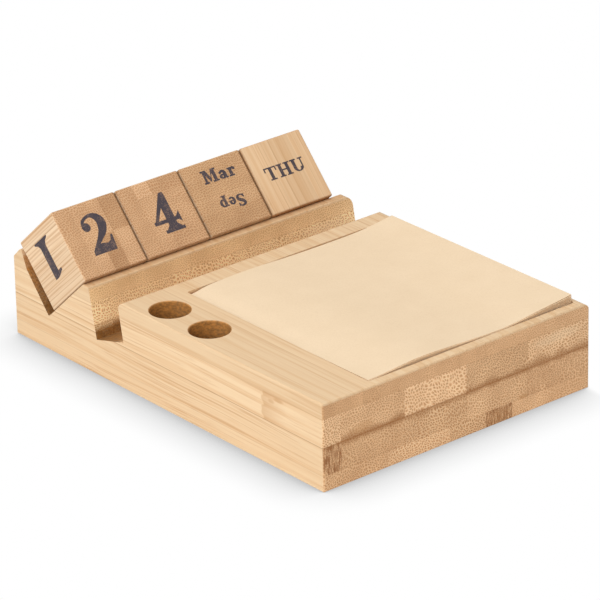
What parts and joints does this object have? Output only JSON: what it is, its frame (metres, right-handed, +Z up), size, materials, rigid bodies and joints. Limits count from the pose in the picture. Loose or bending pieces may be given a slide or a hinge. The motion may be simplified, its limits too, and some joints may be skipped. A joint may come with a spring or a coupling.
{
  "type": "perpetual desk calendar",
  "caption": "Glue-laminated bamboo desk block with lift-out date blocks in a V groove, a leaning phone slot, a memo sheet pocket and pen holes.",
  "frame": {"origin": "centre of the block's underside, which is also the bottom centre of the whole object", "axes": "+X to the right along the front edge, +Y from the front edge to the rim at the back, +Z up"},
  "size_m": [0.1106, 0.1566, 0.0498],
  "materials": {
    "bottom_ply_1": "sanded and oiled bamboo, fine grain",
    "bottom_ply_2": "sanded and oiled bamboo, fine grain",
    "bottom_ply_3": "sanded and oiled bamboo, fine grain",
    "bottom_ply_4": "sanded and oiled bamboo, fine grain",
    "bottom_ply_5": "sanded and oiled bamboo, fine grain",
    "lower_core_1": "sanded and oiled bamboo, fine grain",
    "lower_core_2": "sanded and oiled bamboo, fine grain",
    "lower_core_3": "sanded and oiled bamboo, fine grain",
    "lower_core_4": "sanded and oiled bamboo, fine grain",
    "lower_core_5": "sanded and oiled bamboo, fine grain",
    "memo_paper": "matt kraft paper",
    "month_block": "sanded bamboo plies with dark printed lettering",
    "tens_block": "sanded bamboo plies with dark printed lettering",
    "top_ply_1": "sanded and oiled bamboo, fine grain",
    "top_ply_2": "sanded and oiled bamboo, fine grain",
    "top_ply_3": "sanded and oiled bamboo, fine grain",
    "top_ply_4": "sanded and oiled bamboo, fine grain",
    "top_ply_5": "sanded and oiled bamboo, fine grain",
    "units_block": "sanded bamboo plies with dark printed lettering",
    "upper_core_1": "sanded and oiled bamboo, fine grain",
    "upper_core_2": "sanded and oiled bamboo, fine grain",
    "upper_core_3": "sanded and oiled bamboo, fine grain",
    "upper_core_4": "sanded and oiled bamboo, fine grain",
    "upper_core_5": "sanded and oiled bamboo, fine grain",
    "weekday_block": "sanded bamboo plies with dark printed lettering"
  },
  "bodies": {
    "base": {"bottom_ply_strip_1_base": "bottom_ply_1", "bottom_ply_strip_2_base": "bottom_ply_2", "bottom_ply_strip_3_base": "bottom_ply_3", "bottom_ply_strip_4_base": "bottom_ply_4", "bottom_ply_strip_5_base": "bottom_ply_5", "lower_core_strip_1_base": "lower_core_1", "lower_core_strip_2_base": "lower_core_2", "lower_core_strip_3_base": "lower_core_3", "lower_core_strip_4_base": "lower_core_4", "lower_core_strip_5_base": "lower_core_5", "top_ply_strip_1_pad_block": "top_ply_1", "top_ply_strip_1_ridge": "top_ply_1", "top_ply_strip_1_rim": "top_ply_1", "top_ply_strip_2_pad_block": "top_ply_2", "top_ply_strip_2_ridge": "top_ply_2", "top_ply_strip_2_rim": "top_ply_2", "top_ply_strip_3_back_wall": "top_ply_3", "top_ply_strip_3_front_wall": "top_ply_3", "top_ply_strip_3_ridge": "top_ply_3", "top_ply_strip_3_rim": "top_ply_3", "top_ply_strip_4_back_wall": "top_ply_4", "top_ply_strip_4_front_wall": "top_ply_4", "top_ply_strip_4_ridge": "top_ply_4", "top_ply_strip_4_rim": "top_ply_4", "top_ply_strip_5_pad_block": "top_ply_5", "top_ply_strip_5_ridge": "top_ply_5", "top_ply_strip_5_rim": "top_ply_5", "upper_core_strip_1_pad_block": "upper_core_1", "upper_core_strip_1_ridge": "upper_core_1", "upper_core_strip_1_rim": "upper_core_1", "upper_core_strip_2_pad_block": "upper_core_2", "upper_core_strip_2_ridge": "upper_core_2", "upper_core_strip_2_rim": "upper_core_2", "upper_core_strip_3_back_wall": "upper_core_3", "upper_core_strip_3_front_wall": "upper_core_3", "upper_core_strip_3_ridge": "upper_core_3", "upper_core_strip_3_rim": "upper_core_3", "upper_core_strip_4_back_wall": "upper_core_4", "upper_core_strip_4_front_wall": "upper_core_4", "upper_core_strip_4_ridge": "upper_core_4", "upper_core_strip_4_rim": "upper_core_4", "upper_core_strip_5_pad_block": "upper_core_5", "upper_core_strip_5_ridge": "upper_core_5", "upper_core_strip_5_rim": "upper_core_5"},
    "tens": {"tens_block": "tens_block"},
    "units": {"units_block": "units_block"},
    "month": {"month_block": "month_block"},
    "weekday": {"weekday_block": "weekday_block"},
    "memo": {"memo_loose_sheets": "memo_paper", "memo_stack": "memo_paper"}
  },
  "joints": [
    {"name": "tens_lift", "type": "slide", "parent": "base", "child": "tens", "axis": [0, 0, 1], "range_m": [0, 0.045]},
    {"name": "units_lift", "type": "slide", "parent": "base", "child": "units", "axis": [0, 0, 1], "range_m": [0, 0.045]},
    {"name": "month_lift", "type": "slide", "parent": "base", "child": "month", "axis": [0, 0, 1], "range_m": [0, 0.045]},
    {"name": "weekday_lift", "type": "slide", "parent": "base", "child": "weekday", "axis": [0, 0, 1], "range_m": [0, 0.045]},
    {"name": "memo_lift", "type": "slide", "parent": "base", "child": "memo", "axis": [0, 0, 1], "range_m": [0, 0.04]}
  ]
}
